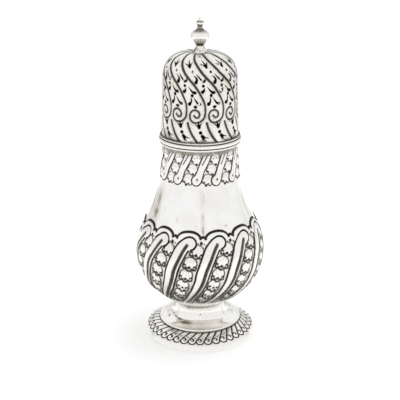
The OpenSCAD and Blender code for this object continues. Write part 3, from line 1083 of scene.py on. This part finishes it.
def make_dome():
    """The pierced dome, sunk a little round the collar; rows lean with the scroll lines."""
    length = dome_line.length
    rows = np.concatenate([np.arange(0, length - 5, 0.38), np.linspace(length - 4.8, length - 1.2, 9)])
    lean = np.interp(rows, *smooth(scroll_sweep).T[::-1, ::-1])
    turn = around(dome_columns)[None] + lean[:, None]
    height, oxide, holes = dome_relief(turn, spread(rows, dome_columns))
    sag = spread(crown_sag * (1 - step(dome_line.at(rows)[:, 0], *sag_r)), dome_columns)
    outer = revolve(dome_line.raised(rows, height - sag), azimuth(turn))
    inner = revolve(dome_line.raised(rows, -dome_wall - sag), azimuth(turn))
    points, faces, stain = pierced(outer, inner, holes, oxide)
    add_piece("cover_pierced_dome", points, faces, stain, "cover", "cover_dome", "chased_silver", crease=50)


make_dome()

# Finial: flared collar, onion-shaped knop and flanged point
finial_columns = 96
bore_r = spigot_r + solder_gap
collar_side = sweep((bell_r, bell_z), (collar_top_r, knop_z), (0.3, 0.24), (0.1, 0.35), 20)
turned(
    "finial_bell",
    np.vstack([[(bore_r, bell_z)], collar_side, [(bore_r, knop_z)]]),
    "cover", "finial_collar",
    crevices=[(knop_z, 0.6, 0.95), (crown_z + 0.8, 3, 0.18), (bell_z, 0.5, 0.75)],
    # The two wide marks at the left and right sides are painted shade; the small ones are dark spots
    marks=[
        (-64, crown_z + 0.6, 32, 2.4, 0.66), (0, crown_z + 0.2, 12, 0.45, 0.7),
        (-24, crown_z + 0.9, 11, 0.7, 0.55), (33, crown_z + 0.6, 9, 0.45, 0.45),
        (66, crown_z + 2, 18, 1.8, 0.5), (52, crown_z - 0.8, 12, 0.6, 0.75),
    ],
    columns=finial_columns,
)

knop_mid_z = (knop_z + tip_z) / 2
spigot_low = crown_z - dome_wall
spigot = [(axis_gap, spigot_low), (spigot_r, spigot_low), (spigot_r, knop_z)]
knop_low_half = sweep((collar_top_r, knop_z), (knop_r, knop_mid_z), (0.45, 0.26), (0, 0.34), 24)
knop_high_half = sweep((knop_r, knop_mid_z), (knop_top_r, tip_z), (0, 0.54), (0, 0.54), 24)
turned(
    "finial_ball",
    np.vstack([spigot, knop_low_half, knop_high_half[1:], [(axis_gap, tip_z)]]),
    "cover", "finial_knop",
    crevices=[
        # The band over the top is a painted reflection, and the light band round the widest part is painted
        # shade for its grey edges
        (knop_z + 0.3, 0.75, 0.97), (tip_z - 1.8, 1.75, 0.68), (tip_z, 0.4, 0.9), (knop_mid_z, 3, 0.1),
    ],
    marks=[(at, knop_z + 1, 6, 0.85, 0.62) for at in (-62, -36, -10, 12, 34, 60)]
    # Painted shade at the knop's left and right sides
    + [(at, knop_mid_z - 0.6, 15, 3, 0.46) for at in (-86, 86)],
    columns=finial_columns,
)

tip_rim_z = tip_z + tip_flange_h
tip_h = top_z - tip_rim_z
tip_under = [(axis_gap, tip_z), (knop_top_r, tip_z), (tip_r, tip_rim_z - tip_edge)]
tip_cone = curve(
    (tip_r, tip_rim_z),
    (0.5 * tip_r, tip_rim_z + 0.22 * tip_h),
    (0.36 * tip_r, tip_rim_z + 0.5 * tip_h),
    (0.12 * tip_r, top_z),
    14,
)
turned(
    "finial_point",
    np.vstack([tip_under, tip_cone, [(axis_gap, top_z)]]),
    "cover", "finial_tip",
    crevices=[(tip_z, 0.45, 0.97), (tip_rim_z + 0.35, 0.45, 0.72)],
    # Painted shade down the left side of the point
    marks=[(-60, top_z - 1.5, 40, 1.3, 0.55)],
    columns=finial_columns,
)


# Floor, light and camera
def grey(level):
    """A colour with three equal parts."""
    return (level, level, level)


floor_tone = 0.85
floor_seen_tone = 0.9
floor_glow = 0.195
floor_half = 0.5


def floor_material():
    """Pale paper: it takes the shadow, and a camera or a mirror sees it near white."""
    material = bpy.data.materials.new("floor_paper")
    material.use_nodes = True
    tree = material.node_tree
    tree.nodes.clear()
    plain = add_node(tree, "BsdfDiffuse", Color=(*grey(floor_tone), 1))
    seen = add_node(tree, "BsdfDiffuse", Color=(*grey(floor_seen_tone), 1))
    glow = add_node(tree, "Emission", Color=(*grey(1), 1), Strength=floor_glow)
    both = add_node(tree, "AddShader", seen.outputs[0], glow.outputs[0])
    path = add_node(tree, "LightPath").outputs
    direct = add_math(tree, "MAXIMUM", path["Is Camera Ray"], path["Is Glossy Ray"])
    mix = add_node(tree, "MixShader", direct, plain.outputs[0], both.outputs[0])
    add_node(tree, "OutputMaterial", Surface=mix.outputs[0])
    return material


floor_corners = [(x * floor_half, y * floor_half, 0) for x, y in ((-1, -1), (1, -1), (1, 1), (-1, 1))]
floor_mesh = bpy.data.meshes.new("floor")
floor_mesh.from_pydata(floor_corners, [], [(0, 1, 2, 3)])
floor_mesh.materials.append(floor_material())
floor = add_object("floor", floor_mesh)

# The room by share of a turn round it, or by height: places and grey levels
room_tone = 0.97
behind_levels = [(0.36, 1), (0.43, 0.68), (0.57, 0.7), (0.64, 1)]
behind_heights = [(0.05, 1), (0.3, 0)]
strip_levels = [(0.29, 1), (0.315, 0.76), (0.34, 0.76), (0.365, 1), (0.645, 1), (0.672, 0.82), (0.7, 1)]
strip_heights = [(0, 0.4), (0.1, 1), (0.22, 1), (0.4, 0)]


def studio_world():
    """White room with a few soft grey strips, which the metal reflects; the camera sees plain white."""
    world = bpy.data.worlds.new("studio")
    scene.world = world
    world.use_nodes = True
    tree = world.node_tree
    tree.nodes.clear()
    place = add_node(tree, "TexCoord").outputs["Generated"]
    parts = add_node(tree, "SeparateXYZ", Vector=place).outputs
    angle = add_math(tree, "ARCTAN2", parts["X"], parts["Y"])
    turn = add_node(tree, "MapRange", Value=angle, From_Min=-math.pi, From_Max=math.pi).outputs[0]

    def dimmed(colour, levels, heights):
        """The colour, dimmed by levels round the room where the mask by height is white."""
        share = add_ramp(tree, turn, [(at, grey(level)) for at, level in levels])
        where = add_ramp(tree, parts["Z"], [(at, grey(level)) for at, level in heights])
        made = add_node(
            tree, "Mix", data_type="RGBA", blend_type="MULTIPLY", Factor=where, A=colour, B=share
        )
        return made.outputs["Result"]

    behind = dimmed((*grey(room_tone), 1), behind_levels, behind_heights)
    room = add_node(tree, "Background", Color=dimmed(behind, strip_levels, strip_heights))
    white = add_node(tree, "Background", Color=(*grey(1), 1))
    seen = add_node(tree, "LightPath").outputs["Is Camera Ray"]
    mix = add_node(tree, "MixShader", seen, room.outputs[0], white.outputs[0])
    add_node(tree, "OutputWorld", Surface=mix.outputs[0])


studio_world()

# Places and sizes of the light and the camera, in metres
light_place = Vector((0.45, 0.2, 1.0))
light_target = Vector((0, 0, 0.08))
light_size = 0.9
light_power = 2.0
camera_place = (0, -0.5768, 0.2887)
camera_pitch = 0.3332
camera_lens = 87.64

lamp = bpy.data.lights.new("key_light", "AREA")
lamp.size = light_size
lamp.energy = light_power
key_light = add_object("key_light", lamp)
key_light.location = light_place
key_light.rotation_mode = "QUATERNION"
key_light.rotation_quaternion = (light_target - light_place).to_track_quat("-Z", "Y")
key_light.visible_glossy = False

camera = bpy.data.cameras.new("camera")
camera.lens = camera_lens
camera.sensor_width = 36
camera.clip_start = 0.01
camera.clip_end = 50
eye = add_object("camera", camera)
eye.location = camera_place
eye.rotation_euler = (math.pi / 2 - camera_pitch, 0, 0)
scene.camera = eye
scene.view_settings.view_transform = "Standard"
